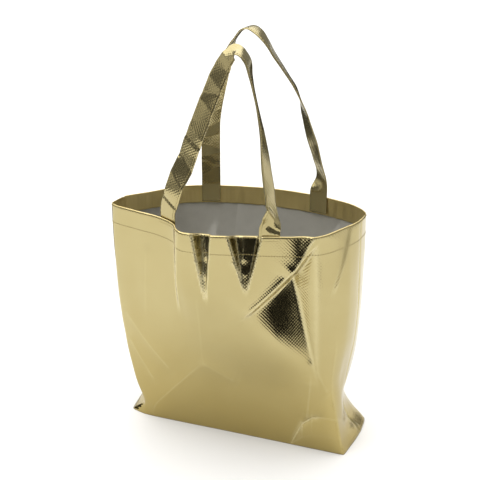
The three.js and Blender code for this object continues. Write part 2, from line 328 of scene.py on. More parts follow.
# %% The outer face of the standing bag
# For each wave of the ripple: its length, its direction, where it starts and where its bend starts.
WAVES = np.random.default_rng(7).uniform(size=(26, 4))


def crumple(s, h):
    """A low, uneven ripple: the mean of many sine waves 18 to 90 mm long with seeded directions, each
    bent by a slower wave. A shorter wave is lower in proportion."""
    total = np.zeros(np.broadcast(s, h).shape)
    for share, direction, start, start_bend in WAVES:
        length = 18 + 72 * share
        turn = math.pi * direction
        wave = (s * math.cos(turn) + h * math.sin(turn)) * 2 * math.pi / length + 6.283 * start
        total += np.sin(wave + 0.7 * np.sin(wave * 0.37 + 6.283 * start_bend)) * length / 90
    return total / len(WAVES)


def shell(s, h):
    """The outer face of the standing bag: the loft, moved along its own normal by the creases."""
    s, h = np.broadcast_arrays(np.asarray(s, float), np.asarray(h, float))
    move = creases(s, h) * smooth(h, -1, 5) + 1.3 * crumple(s, h) * smooth(h, 0, 25)
    at = loft(s, h) + outward(loft, s, h) * move[..., None]
    # Where the rim is pushed in, it also sinks a little; nothing goes below the table.
    at[..., 2] = np.maximum(at[..., 2] + 0.36 * np.minimum(move, 0) * smooth(h, 215, RIM), 0)
    return at


print("ridges, dents and steps:", len(RIDGES), len(DENTS), len(STEPS))

# %% [markdown]
# ## Putting a surface into a mesh
# Each new piece is a grid of points. The helper below turns the grid into quads in one call, and keeps
# each point's place on the flat cloth as a UV map in metres, so that a weave has its real size and
# bends with the cloth.

# %% A mesh from a grid of points
def cloth_mesh(name, points, flat, materials, thickness=0.0, closed=False):
    """points is rows x columns x 3 in millimetres, flat the same grid's place on the cloth. Thickness
    is added inwards, and its inner face takes the last material. A closed grid's doubled points are
    welded."""
    rows, columns = points.shape[:2]
    index = np.arange(rows * columns).reshape(rows, columns)
    a, b, c, d = index[:-1, :-1], index[:-1, 1:], index[1:, 1:], index[1:, :-1]
    faces = np.stack([a, b, c, d], axis=-1).reshape(-1, 4)
    mesh = bpy.data.meshes.new(name)
    mesh.vertices.add(rows * columns)
    mesh.vertices.foreach_set("co", (points / 1000).astype(np.float32).ravel())
    mesh.loops.add(faces.size)
    mesh.loops.foreach_set("vertex_index", faces.ravel().astype(np.int32))
    mesh.polygons.add(len(faces))
    mesh.polygons.foreach_set("loop_start", np.arange(0, faces.size, 4, dtype=np.int32))
    mesh.update(calc_edges=True)
    uv = mesh.uv_layers.new(name="cloth")
    uv.data.foreach_set("uv", (flat.reshape(-1, 2)[faces.ravel()] / 1000).astype(np.float32).ravel())
    mesh.polygons.foreach_set("use_smooth", np.ones(len(faces), bool))
    for material in materials:
        mesh.materials.append(material)
    piece = bpy.data.objects.new(name, mesh)
    bpy.context.scene.collection.objects.link(piece)
    if closed:
        weld = bmesh.new()
        weld.from_mesh(mesh)
        bmesh.ops.remove_doubles(weld, verts=weld.verts, dist=1e-6)
        weld.to_mesh(mesh)
        weld.free()
    if thickness:
        solid = piece.modifiers.new("thickness", "SOLIDIFY")
        solid.thickness = thickness / 1000
        solid.offset = -1
        solid.material_offset = len(materials) - 1
        solid.material_offset_rim = len(materials) - 1
        apply_modifiers(piece)
    return piece


def apply_modifiers(piece):
    """The mesh with its modifiers worked out takes the place of the plain one."""
    graph = bpy.context.evaluated_depsgraph_get()
    done = bpy.data.meshes.new_from_object(piece.evaluated_get(graph), depsgraph=graph)
    old = piece.data
    piece.modifiers.clear()
    piece.data = done
    done.name = piece.name
    bpy.data.meshes.remove(old)


def grid(s_from, s_to, h_from, h_to, pitch):
    """Places on the cloth, evenly spaced at about the pitch: two arrays, rows by columns."""
    columns = int(round(abs(s_to - s_from) / pitch)) + 1
    rows = max(2, int(round(abs(h_to - h_from) / pitch)) + 1)
    return np.meshgrid(np.linspace(s_from, s_to, columns), np.linspace(h_from, h_to, rows))


# %% [markdown]
# ## The materials
# The cloth is spun-bonded polypropylene, calendered between rollers so that it carries a fine pattern
# of bonded points. Its outside has an aluminised film under a gold lacquer, hot-laminated to it. The
# eye gets a metal's coloured reflection, blurred a little by the bond pattern that shows through the
# film, a milky haze where the film is creased, and needle holes along the stitching.

# %% Colour and node helpers
def linear(hex_colour):
    """An sRGB hex colour as linear red, green, blue and alpha."""
    parts = [int(hex_colour[i : i + 2], 16) / 255 for i in (1, 3, 5)]
    return (*[c / 12.92 if c <= 0.04045 else ((c + 0.055) / 1.055) ** 2.4 for c in parts], 1.0)


def add(tree, kind, settings=None, **sockets):
    """Adds a node. Settings are its properties; each socket is a value, or the output that feeds it.
    A socket named in_2 is the third input."""
    made = tree.nodes.new("ShaderNode" + kind)
    for key, value in (settings or {}).items():
        setattr(made, key, value)
    for key, value in sockets.items():
        socket = made.inputs[int(key[3:])] if key.startswith("in_") else made.inputs[key.replace("_", " ")]
        if isinstance(value, bpy.types.NodeSocket):
            tree.links.new(value, socket)
        else:
            socket.default_value = value
    return made


def noise(tree, place, scale, detail, roughness=0.5, distortion=0.0):
    """A noise texture's value from 0 to 1 at a place."""
    sockets = dict(Vector=place, Scale=scale, Detail=detail, Roughness=roughness, Distortion=distortion)
    return add(tree, "TexNoise", {"noise_dimensions": "3D"}, **sockets).outputs["Fac"]


def mixed(tree, share, first, second):
    """A colour between two, which are hex values or outputs: the first at a share of 0."""
    first, second = (linear(c) if isinstance(c, str) else c for c in (first, second))
    return add(tree, "Mix", {"data_type": "RGBA"}, in_0=share, in_6=first, in_7=second).outputs[2]


def mapped(tree, value, low, high, at_low, at_high, curve="LINEAR"):
    """A value in one range carried over to another, and held at its ends."""
    ends = dict(From_Min=low, From_Max=high, To_Min=at_low, To_Max=at_high)
    return add(tree, "MapRange", {"interpolation_type": curve}, Value=value, **ends).outputs[0]


def new_material(name):
    """An empty material and its node tree."""
    material = bpy.data.materials.new(name)
    material.use_nodes = True
    material.node_tree.nodes.clear()
    return material, material.node_tree


def finished(material, tree, kind="BsdfPrincipled", **sockets):
    """The material, with its shader joined to its output."""
    shader = add(tree, kind, **sockets)
    add(tree, "OutputMaterial", Surface=shader.outputs[0])
    return material


# %% Metallised gold film laminated to spun-bonded cloth
BOND_PITCH = 2.9  # mm; the real points are about 2 mm apart, drawn coarser so that they show
STITCH_PITCH = 3.2  # mm
HEM_ROWS = [RIM - 2.2, RIM - 24.0]  # the rim row and the hem row, by their heights


def gold_laminate(name, light, deep, roughness, metal=1.0, stitch_rows=(), deepen=0.0):
    """Metal of one base colour that drifts between two golds. Relief: bonded points on a slanted lattice, a
    fine crinkle, and pits at the needle holes of each row of stitching, which are also darkened with
    painted shade. Deepen is the share of a painted reflection at the foot of the cloth: a deeper gold,
    standing in for the gold light the film mirrors there."""
    material, tree = new_material(name)
    uv = add(tree, "UVMap", {"uv_map": "cloth"}).outputs[0]
    split = add(tree, "SeparateXYZ", Vector=uv)
    across_cloth, up_cloth = split.outputs[0], split.outputs[1]

    def calc(operation, *values):
        """One step of arithmetic in the material."""
        inputs = {f"in_{i}": value for i, value in enumerate(values)}
        return add(tree, "Math", {"operation": operation}, **inputs).outputs[0]

    def waves(place, pitch, slant=1.0):
        """A sine wave along a place in metres, with its pitch in millimetres."""
        return calc("SINE", calc("MULTIPLY", place, 2 * math.pi / (pitch / 1000) * slant))

    # Bonded points: the sum of two sine waves along the cloth's diagonals, a lattice of diamonds.
    points = calc(
        "ADD",
        waves(calc("ADD", across_cloth, up_cloth), BOND_PITCH, math.sqrt(0.5)),
        waves(calc("SUBTRACT", across_cloth, up_cloth), BOND_PITCH, math.sqrt(0.5)),
    )
    crinkle = noise(tree, uv, 210.0, 5.0, 0.62, 0.6)
    fibres = noise(tree, uv, 900.0, 2.0)
    relief = calc("ADD", calc("MULTIPLY", points, 0.085), calc("MULTIPLY", crinkle, 0.22))
    relief = calc("ADD", relief, calc("MULTIPLY", fibres, 0.03))
    hole_mask = None
    for row in stitch_rows:
        from_row = calc("ABSOLUTE", calc("SUBTRACT", up_cloth, row / 1000))
        near = mapped(tree, from_row, 0.0, 0.0009, 1.0, 0.0, "SMOOTHSTEP")
        beat = waves(across_cloth, STITCH_PITCH)
        hole = calc("MULTIPLY", near, calc("POWER", calc("MAXIMUM", beat, 0.0), 4.0))
        hole_mask = hole if hole_mask is None else calc("MAXIMUM", hole_mask, hole)
    if hole_mask is not None:
        relief = calc("SUBTRACT", relief, hole_mask)
    bump = add(tree, "Bump", Height=relief, Strength=1.0, Distance=0.0003)
    # The lacquer's colour drifts. Next to the table the film mirrors its own gold light, so a painted
    # reflection draws it deeper there, and haze dulls it where the film was creased.
    drift = noise(tree, uv, 14.0, 4.0, 0.55)
    colour = mixed(tree, drift, deep, light)
    if deepen:
        colour = mixed(tree, mapped(tree, up_cloth, 0.0, 0.2, deepen, 0.0, "SMOOTHSTEP"), colour, "#a5904f")
    worn = add(tree, "Attribute", {"attribute_name": "worn"}).outputs["Fac"]
    haze = calc("MULTIPLY", worn, calc("ADD", crinkle, 0.15))
    colour = mixed(tree, calc("MULTIPLY", haze, 0.55), colour, "#efe6bd")
    # The needle holes are darkened with painted shade in their pits.
    if hole_mask is not None:
        colour = mixed(tree, calc("MULTIPLY", hole_mask, 0.75), colour, "#3a3116")
    uneven = calc("ADD", calc("MULTIPLY", drift, 0.4), haze)
    rough = mapped(tree, uneven, 0.1, 1.0, roughness - 0.05, roughness + 0.2)
    return finished(
        material, tree, Base_Color=colour, Metallic=metal, Roughness=rough, Normal=bump.outputs[0]
    )


GOLD = ("#b6aa7e", "#a99b6c")
# The outer film is drawn deeper towards its foot: a painted reflection of the table beside it.
film = gold_laminate("metallised_film_on_nonwoven", *GOLD, 0.15, stitch_rows=HEM_ROWS, deepen=0.6)
strap_film = gold_laminate("metallised_film_strap", *GOLD, 0.2, metal=0.84)
# The hem facing is the same laminate as the outside, drawn in a lighter, duller gold: painted light that
# lifts the shaded inside of the mouth.
facing_film_painted_light = gold_laminate("metallised_film_hem_facing", "#efdca0", "#cdb87c", 0.38, metal=0.95)


# %% The bare non-woven side of the cloth
FIBRE_CELL = 1.6  # mm between the bonded points on the bare side


def bare_nonwoven():
    """White spun-bonded fibre: matt, a little uneven in tone, with bonded points and fibres as relief."""
    material, tree = new_material("bare_nonwoven_polypropylene")
    uv = add(tree, "UVMap", {"uv_map": "cloth"}).outputs[0]
    cells = add(
        tree, "TexVoronoi", {"feature": "F1"}, Vector=uv, Scale=1000 / FIBRE_CELL, Randomness=0.35
    ).outputs["Distance"]
    cloud = noise(tree, uv, 60.0, 6.0, 0.6)
    fibre = noise(tree, uv, 1400.0, 3.0, 0.6, 1.5)
    height = add(tree, "Math", {"operation": "ADD"}, in_0=cells, in_1=fibre).outputs[0]
    bump = add(tree, "Bump", Height=height, Strength=0.5, Distance=0.0002)
    return finished(
        material, tree,
        Base_Color=mixed(tree, cloud, "#acaaa2", "#c0beb6"), Roughness=0.88,
        Sheen_Weight=0.25, Sheen_Roughness=0.5, Normal=bump.outputs[0],
    )


nonwoven = bare_nonwoven()


# %% Spun polyester sewing thread
def sewing_thread():
    """Two plies twisted together: slanted bands along the thread, a soft sheen, and painted shade that
    darkens the thread between plies.
    """
    material, tree = new_material("spun_polyester_thread")
    place = add(tree, "TexCoord").outputs["Object"]
    ply = add(
        tree, "TexWave", {"wave_type": "BANDS", "bands_direction": "DIAGONAL"},
        Vector=place, Scale=420.0, Distortion=1.0, Detail=1.0,
    ).outputs["Fac"]
    bump = add(tree, "Bump", Height=ply, Strength=0.6, Distance=0.0001)
    return finished(
        material, tree,
        Base_Color=mixed(tree, ply, "#8d7a3f", "#cbb877"), Roughness=0.55,
        Sheen_Weight=0.3, Normal=bump.outputs[0],
    )


thread = sewing_thread()
print("materials:", [m.name for m in (film, strap_film, facing_film_painted_light, nonwoven, thread)])

# %% [markdown]
# ## The front and rear walls
# Each wall is half of the shell, from side seam to side seam.

# %% The two walls, 0.5 mm thick, gold outside and bare inside
CLOTH = 0.5
WALL_PITCH = 1.75
WALL_TOP = RIM - 0.4


def wear(s, h):
    """Near 1 on the sharp creases and 0 on the flat: from how far the relief turns within 1.6 mm."""
    d = 1.6
    bend = abs(creases(s + d, h) + creases(s - d, h) - 2 * creases(s, h))
    bend = bend + abs(creases(s, h + d) + creases(s, h - d) - 2 * creases(s, h))
    return np.clip(bend * 1.3, 0, 1)


def set_worn(piece, values):
    """Stores how worn the film is at each vertex, for the material to read."""
    attribute = piece.data.attributes.new("worn", "FLOAT", "POINT")
    attribute.data.foreach_set("value", values.astype(np.float32))


def wall(name, s_from, s_to):
    """One wall of the shell. Its inner face's vertices follow the outer ones in the same order, so both
    take the same wear."""
    s, h = grid(s_from, s_to, 0.0, WALL_TOP, WALL_PITCH)
    piece = cloth_mesh(name, shell(s, h), np.stack([s, h], -1), [film, nonwoven], CLOTH)
    set_worn(piece, np.resize(wear(s, h).ravel(), len(piece.data.vertices)))
    print(name, len(piece.data.polygons), "faces")
    return piece


front_wall = wall("front_wall", -HALF_GIRTH, HALF_GIRTH)
rear_wall = wall("rear_wall", HALF_GIRTH, 3 * HALF_GIRTH)

# %% [markdown]
# ## The base
# The base is the same sheet, lying flat on the table. Inside the bag its bare side shows.

# %% The base, one flat piece between the two walls' lower edges
def base_sheet():
    """Rows run straight across the bag, from a point of the front edge to its partner at the rear.
    The ends of both edges lie just inside the side seams."""
    share = np.linspace(0, 1, 161)
    reach = HALF_GIRTH - 0.6
    front = shell(reach * (2 * share - 1), 0.0)
    rear = shell(2 * HALF_GIRTH - reach * (2 * share - 1), 0.0)
    v = np.linspace(0.004, 0.996, 61)[:, None, None]
    points = front[None] * (1 - v) + rear[None] * v
    ripple = crumple(points[..., 0] * 1.3, points[..., 1] * 1.3 + 40)
    middle = np.sin(np.pi * v[..., 0]) * np.sin(np.pi * share[None])
    points[..., 2] = 0.75 + np.clip(1.2 * ripple + 0.5, 0, 2) * middle
    return cloth_mesh("base_sheet", points, points[..., :2].copy(), [nonwoven, film], CLOTH)


base = base_sheet()
print("base:", len(base.data.polygons), "faces")


# %% [markdown]
# ## The hem
# The top edge is turned over and in, 24 mm deep, with the gold side out, so a gold band runs round
# inside the mouth. The fold at the rim is a small half circle, and it takes up the rest of the 26 mm.

# %% The turned-in hem
HEM_DEPTH = 24.0
HEM_PITCH = 1.3
TURN_RADIUS = 0.75


def folded_over(surface, s, down):
    """From the outer face, over the rim and down inside: down is 0 to 1 round the half circle, then
    the depth below the rim in millimetres plus 1."""
    angle = math.pi * np.clip(down, 0, 1)
    below = np.clip(down - 1, 0, None)
    h = WALL_TOP + TURN_RADIUS * np.sin(angle) - below
    at = surface(s, h)
    n = outward(surface, s, h)
    inwards = TURN_RADIUS * (1 - np.cos(angle)) + 0.05 * smooth(below, 0, 4)
    return at - n * inwards[..., None]


def hem(name, s_from, s_to):
    """Half of the hem: the folded-over strip, with a ripple that starts just below the rim."""
    count = int(abs(s_to - s_from) / HEM_PITCH) + 1
    down = np.concatenate([np.linspace(0, 1, 7), 1 + np.linspace(1.2, HEM_DEPTH, 18)])
    s, d = np.meshgrid(np.linspace(s_from, s_to, count), down)
    points = folded_over(shell, s, d)
    ripple = 0.3 * np.sin(s / 3.1 + 2 * np.sin(s / 17)) + 0.1 * np.sin(s / 1.1 + 3 * np.sin(s / 9))
    ripple = ripple * smooth(d, 1, 6)
    points -= outward(shell, s, RIM - d) * ripple[..., None]
    return cloth_mesh(name, points, np.stack([s, 2 * RIM + d], -1), [facing_film_painted_light, nonwoven], 0.45)


front_hem = hem("front_hem_fold", -HALF_GIRTH, HALF_GIRTH)
rear_hem = hem("rear_hem_fold", HALF_GIRTH, 3 * HALF_GIRTH)
print("hem:", [len(piece.data.polygons) for piece in (front_hem, rear_hem)], "faces")


# %% [markdown]
# ## Stitching
# Each stitch is a short length of thread that rises out of one needle hole and dives into the next.
# A row could be a texture, but real stitches catch the light. The small closed tubes of a whole row
# are worked out at once.

# %% Rows of stitches along any path on the cloth
SIDES = 6
# The rings of a stitch: where each is along the pitch, how proud it stands and how thick it is.
RING_PLACES = np.array([0.0, 0.12, 0.5, 0.88, 1.0]) * 0.82 + 0.09
RING_LIFTS = np.array([-0.35, 0.45, 1.0, 0.45, -0.35])
RING_WIDTHS = np.array([0.35, 0.9, 1.0, 0.9, 0.35])
RINGS = len(RING_PLACES)


def stitches(name, path, normal, pitch=STITCH_PITCH, proud=0.32, thick=0.24):
    """path and normal are functions of distance that give points in millimetres and unit vectors. Each
    stitch is a six-sided tube of five rings; its middle stands proud and its ends dive under."""
    count = int(path.length / pitch)
    at = (np.arange(count)[:, None] + RING_PLACES) * pitch
    centre = path(at) + normal(at) * (RING_LIFTS * proud)[None, :, None]
    along = path(at + 0.4) - path(at - 0.4)
    along /= np.linalg.norm(along, axis=-1, keepdims=True)
    out = normal(at)[:, :, None, :]
    side = np.cross(along, out[:, :, 0])[:, :, None, :]
    angle = np.linspace(0, 2 * math.pi, SIDES, endpoint=False)[:, None]
    ring = (np.cos(angle) * out + np.sin(angle) * side) * (RING_WIDTHS * thick)[None, :, None, None]
    points = (centre[:, :, None, :] + ring).reshape(-1, 3)
    first = np.arange(count)[:, None, None] * RINGS * SIDES
    i, j = np.meshgrid(np.arange(RINGS - 1), np.arange(SIDES), indexing="ij")
    a, b = i * SIDES + j, i * SIDES + (j + 1) % SIDES
    quads = np.stack([a, b, b + SIDES, a + SIDES], -1).reshape(-1, 4)[None] + first
    lid = np.arange(SIDES)
    ends = np.stack([lid[::-1], lid + (RINGS - 1) * SIDES])[None] + first
    faces = quads.reshape(-1, 4).tolist() + ends.reshape(-1, SIDES).tolist()
    mesh = bpy.data.meshes.new(name)
    mesh.from_pydata((points / 1000).tolist(), [], faces)
    mesh.polygons.foreach_set("use_smooth", np.ones(len(faces), bool))
    mesh.materials.append(thread)
    piece = bpy.data.objects.new(name, mesh)
    bpy.context.scene.collection.objects.link(piece)
    print(name, count, "stitches")
    return piece


class Row:
    """A line on a surface from one place on the cloth to another, by distance along it."""

    def __init__(self, surface, start, end, offset=0.0):
        self.surface, self.start, self.offset = surface, np.array(start, float), offset
        self.run = np.array(end, float) - self.start
        self.length = float(np.hypot(*self.run))
        self.run /= self.length

    def place(self, distance):
        """The place on the cloth, s and h, at a distance."""
        return self.start[0] + distance * self.run[0], self.start[1] + distance * self.run[1]

    def __call__(self, distance):
        s, h = self.place(distance)
        return self.surface(s, h) + self.normal(distance) * self.offset

    def normal(self, distance):
        """The way the surface faces at a distance."""
        s, h = self.place(distance)
        return outward(self.surface, s, h)


def wall_rows(side, s_from, s_to):
    """The rim row and the hem row of one wall."""
    made = []
    for label, h in zip(("rim", "hem"), HEM_ROWS):
        row = Row(shell, (s_from + 1.5, h), (s_to - 1.5, h))
        made.append(stitches(f"{side}_{label}_stitches", row, row.normal))
    return made


front_rows = wall_rows("front", -HALF_GIRTH, HALF_GIRTH)
rear_rows = wall_rows("rear", HALF_GIRTH, 3 * HALF_GIRTH)

# %% [markdown]
# ## The strap handles
# Each strap is a band folded from the same laminate and sewn shut along one edge, 25 mm wide. Its ends
# lie against the inside of the hem. Between them it can only bend over its face, so it twists where a
# leg has to turn, and it kinks at the top. It is a profile carried along a path: the path gives the
# middle, and a second curve says which way the face looks.

# %% Helpers for a strap's path: where its face looks, its feet and its legs
STRAP = 25.0
STRAP_HALF_THICKNESS = 0.75
HEM_BACK = 3.1  # how far behind the wall's outer face a strap's middle lies inside the hem


def look(heading, rise):
    """A unit vector from a heading, 0 to the front and 90 to the right, and a rise above level."""
    turn, up = math.radians(heading), math.radians(rise)
    return math.sin(turn) * math.cos(up), -math.cos(turn) * math.cos(up), math.sin(up)


def foot(s_middle):
    """The end of a strap inside the hem, from the hem's lower edge to just above the rim."""
    levels = RIM + np.array([-22, -12, -2, 5])
    on_wall = np.minimum(levels, RIM - 1)
    along = np.full(len(levels), s_middle)
    n = outward(loft, along, on_wall)
    at = loft(along, on_wall) - n * HEM_BACK
    at[:, 2] += levels - on_wall
    return [(tuple(p), tuple(q)) for p, q in zip(at, n)]


def leg(*points):
    """Points of a strap between its feet: x, y, z in millimetres, then the heading and the rise."""
    return [((x, y, z), look(heading, rise)) for x, y, z, heading, rise in points]


# %% The straps' paths, in millimetres and degrees
# The middles of the four feet, as places along the cloth.
FRONT_LEFT, FRONT_RIGHT, REAR_LEFT, REAR_RIGHT = -71.0, 65.5, 477.0, 333.0
STRAP_PATHS = {
    "front": foot(FRONT_LEFT)
    + leg(
        (-62, -76, 328, -18, 0),
        (-51, -73, 358, -15, -1),
        (-41, -71, 385, -14, -2),
        (-28, -68, 418, -18, -2),
        (-15, -65, 452, -22, -1),
        (-1, -62, 485, -28, 7),
        (4.5, -61, 494.5, -36, 16),
        (10, -60, 501, -30, 44),
        (15, -60, 502.5, 60, 60),
        (20.5, -60, 499.5, 88, 36),
        (26, -60, 493, 92, 20),
        (31, -62, 477, 101, 8),
        (38, -64, 451, 107, 5),
        (44, -66, 425, 103, 3),
        (49, -68, 401, 94, 1),
        (53, -70, 378, 86, 2),
        (57, -72, 353, 81, -1),
        (60.5, -75, 332, 80, -4),
        (62.5, -78, 317, 66, -4),
    )
    + foot(FRONT_RIGHT)[::-1],
    "rear": foot(REAR_LEFT)
    + leg(
        (-75, 82, 326, 196, 4),
        (-74, 80, 349, 192, 3),
        (-72.5, 77, 378, 194, 3),
        (-67, 74, 409, 202, 3),
        (-57, 70, 441, 225, 4),
        (-43, 65, 476, 262, 14),
        (-32, 62, 493, 278, 42),
        (-23, 61, 504, 278, 78),
        (-13, 60, 507.5, 0, 88),
        (-3, 60, 503, 84, 62),
        (8, 60, 492, 96, 42),
        (20, 61, 474, 103, 28),
        (34, 64, 452, 106, 18),
        (47, 67, 430, 107, 10),
        (57, 70, 402, 124, -4),
        (64, 73, 374, 133, -10),
        (73, 76, 341, 130, -10),
        (78, 79, 319, 134, -6),
    )
    + foot(REAR_RIGHT)[::-1],
}


# %% A strap as a surface, and its kinks
class Strap:
    """The strap's outer face as a surface: u is distance along it, v is distance across from the
    middle. The frame is the path's direction, the look made square to it, and their cross product."""

    def __init__(self, route, kinks):
        self.kinks = np.array(kinks, float).T
        self.points = np.array([p for p, _ in route], float)
        self.looks = np.array([q for _, q in route], float)
        gaps = np.linalg.norm(np.diff(self.points, axis=0), axis=1)
        self.knots = np.concatenate([[0], np.cumsum(gaps)])
        self.length = float(self.knots[-1])

    def frame(self, u):
        """The middle of the strap at u, and the unit vectors along it, across it and out of its face."""
        u = np.clip(u, 0.0, self.length)
        middle = through(u, self.knots, self.points)
        low, high = np.clip(u - 0.5, 0, None), np.clip(u + 0.5, None, self.length)
        along = through(high, self.knots, self.points) - through(low, self.knots, self.points)
        along /= np.linalg.norm(along, axis=-1, keepdims=True)
        side = np.cross(along, through(u, self.knots, self.looks))
        side /= np.linalg.norm(side, axis=-1, keepdims=True)
        return middle, along, side, np.cross(side, along)

    def relief(self, u, v):
        """How far the face stands out, in millimetres: straight slopes between kinks, which cross the
        strap at a slant, and a low uneven ripple. It is nothing where the feet are sewn down."""
        places, slants, levels = self.kinks
        at = u + np.interp(u, places, slants) * v
        free = smooth(u, 23, 32) * smooth(self.length - u, 23, 32)
        bow = 0.4 * (1 - (v / (STRAP / 2)) ** 2)
        return (np.interp(at, places, levels) + bow + 0.5 * crumple(u * 1.9 + 300, v * 1.9)) * free

    def __call__(self, u, v):
        middle, _, side, out = self.frame(u)
        return middle + side * v[..., None] + out * self.relief(u, v)[..., None]


# Each kink: how far along the strap it is, its slant, and how far the face stands out there.
FRONT_KINKS = [(0, 0, 0), (44, 0.15, 0.5), (47.5, 0.15, -0.9), (56, -0.1, 0.2), (77, 0.5, 2.2)]
FRONT_KINKS += [(101, 0.8, -3.6), (112, 0.2, -2.6), (125, 0.2, -0.6), (127.5, 0.25, -1.6)]
FRONT_KINKS += [(140, 0.5, 0.2), (156, -0.5, 0.0), (176, 0.6, 1.2), (190, -0.7, 0.0), (204, 0.5, 0.9)]
FRONT_KINKS += [(222, -0.3, -0.3), (234, 0.2, 0.9), (244, -0.2, -0.5), (252, 0.2, 0.6)]
FRONT_KINKS += [(300, 0.3, -0.3), (350, -0.3, 0.4), (392, 0.4, -0.4), (420, -0.2, 0.5), (436, 0.9, 0.2)]
FRONT_KINKS += [(447, 0.9, 2.6), (457, 0.9, -2.0), (466, 0.5, 0.8), (476, 0, 0), (560, 0, 0)]
REAR_KINKS = [(0, 0, 0), (44, 0.6, 0.8), (54, -0.7, -0.6), (64, 0.5, 0.7), (76, -0.4, -0.7)]
REAR_KINKS += [(90, 0.3, 0.9), (104, 0.9, -0.9), (126, 0.7, 0.9), (150, -0.3, -0.4), (186, 0.2, 0.5)]
REAR_KINKS += [(212, 0.3, -0.6), (228, -0.2, 0.8), (246, 0.2, -0.6), (262, 0.3, 0.6), (300, -0.4, -0.5)]
REAR_KINKS += [(350, 0.4, 0.7), (392, -0.5, -0.6), (430, 0.3, 0.5), (470, 0, 0), (580, 0, 0)]


def strap_piece(name, strap):
    """A closed band: the outer face, a rounded edge, the inner face and the other edge, all one loop
    across, carried along the strap, with each end closed by a loop drawn in to a point."""
    u = np.linspace(0, strap.length, int(strap.length / 1.5))
    thick, bulge = STRAP_HALF_THICKNESS, 0.6
    edge = STRAP / 2 - bulge
    flat = np.linspace(-edge, edge, 15)
    turn = np.linspace(math.pi / 2, -math.pi / 2, 5)[1:-1]
    across_loop = [flat, edge + bulge * np.cos(turn), flat[::-1], -edge - bulge * np.cos(turn), flat[:1]]
    level, round_edge = np.full(len(flat), thick), thick * np.sin(turn)
    out_loop = [level, round_edge, -level, -round_edge, level[:1]]
    v, w = np.concatenate(across_loop), np.concatenate(out_loop)
    grid_u, grid_v = np.meshgrid(u, v, indexing="ij")
    points = strap(grid_u, grid_v) + strap.frame(grid_u)[3] * w[None, :, None]
    middles = [row.mean(axis=1, keepdims=True) for row in (points[:1], points[-1:])]
    first, last = (np.repeat(middle, len(v), axis=1) for middle in middles)
    points = np.concatenate([first, points, last])
    # On the flat cloth the inner face lies 60 mm beside the outer one.
    inside = w < 0
    places = np.stack([grid_u, grid_v * np.where(inside, -1, 1) + inside * 60], -1)
    places = np.concatenate([places[:1], places, places[-1:]])
    return cloth_mesh(name, points, places, [strap_film], closed=True)


straps = {
    "front": Strap(STRAP_PATHS["front"], FRONT_KINKS),
    "rear": Strap(STRAP_PATHS["rear"], REAR_KINKS),
}
for side, strap in straps.items():
    print(side, "strap, end to end:", round(strap.length), "mm")
front_strap = strap_piece("front_strap_band", straps["front"])
rear_strap = strap_piece("rear_strap_band", straps["rear"])


# %% The straps' edge stitching
def strap_row(name, strap, v, start=6.0):
    """A row of stitches along a strap's outer face, at v from its middle."""
    face = lambda u, _: strap(u, np.full(np.shape(u), v))
    row = Row(face, (start, 0), (strap.length - start, 0), STRAP_HALF_THICKNESS)
    row.normal = lambda u: strap.frame(row.place(u)[0])[3]
    return stitches(name, row, row.normal, proud=0.28, thick=0.22)


strap_rows = {
    side: strap_row(f"{side}_strap_edge_stitches", strap, STRAP / 2 - 3.0) for side, strap in straps.items()
}


# %% [markdown]
# ## Small sewn details
# Each foot of a strap is held by a short second row through the hem, and the top of each side seam is
# held by a bar of close stitches. Inside, the seam's two edges stand up as a narrow flap.

# %% Rows through the feet, bars at the seams, and the seam allowances
FEET = {
    "front_left": FRONT_LEFT,
    "front_right": FRONT_RIGHT,
    "rear_left": REAR_LEFT,
    "rear_right": REAR_RIGHT,
}
FLAP = 10.0
foot_rows = {}
for name, s_middle in FEET.items():
    reach, level = STRAP / 2 - 0.5, RIM - 5.5
    row = Row(shell, (s_middle - reach, level), (s_middle + reach, level))
    foot_rows[name] = stitches(f"{name}_foot_stitches", row, row.normal, pitch=2.6)


def seam_flap(name, s_seam):
    """The two edges of the sheet at a side seam, sewn together and standing 10 mm into the bag. They
    wave more towards the free edge."""
    h = np.linspace(4, RIM - HEM_DEPTH - 1, 150)
    v = np.linspace(0, FLAP, 6)
    grid_h, grid_v = np.meshgrid(h, v, indexing="ij")
    at = shell(np.full(grid_h.shape, s_seam), grid_h)
    n = outward(loft, np.full(grid_h.shape, s_seam), grid_h)
    lean = np.array([0.0, 1.0, 0.0])
    wave = 1.4 * np.sin(grid_h / 23) * (grid_v / FLAP) ** 2
    points = at - n * (0.7 + grid_v)[..., None] + lean * wave[..., None]
    points[..., 2] = np.maximum(points[..., 2], 0.8)
    return cloth_mesh(name, points, np.stack([grid_h, grid_v], -1), [nonwoven], 2 * CLOTH - 0.1)


right_flap = seam_flap("right_seam_flap", HALF_GIRTH)
left_flap = seam_flap("left_seam_flap", -HALF_GIRTH)


def inner(s, h):
    """The inner face of the hem."""
    return shell(s, h) - outward(shell, s, h) * 2.25


def bar(name, s_seam):
    """A short bar of close stitches across a seam, on the inner face of the hem."""
    row = Row(inner, (s_seam - 4.5, RIM - 14), (s_seam + 4.5, RIM - 14))
    return stitches(name, row, lambda d: -row.normal(d), pitch=1.3, proud=0.4, thick=0.4)


right_bar = bar("right_seam_bar", HALF_GIRTH)
left_bar = bar("left_seam_bar", -HALF_GIRTH)
# The boxed corners are sewn straight across the ends of the base, just above the table.
corner_rows = {}
for side, s_seam in (("right", HALF_GIRTH), ("left", -HALF_GIRTH)):
    row = Row(shell, (s_seam - 38, 3.4), (s_seam + 38, 3.4))
    corner_rows[side] = stitches(f"{side}_corner_stitches", row, row.normal)

# %% [markdown]
# ## The table and the light
# A mirror shows its surroundings, so lighting gold film means deciding what stands round it. The pale
# table gives the broad light gold. Black cards give the dents and the edges their darks, and lit silks
# give the strips of light beside them. Cards and silks stand round the set and are seen by reflections
# only.

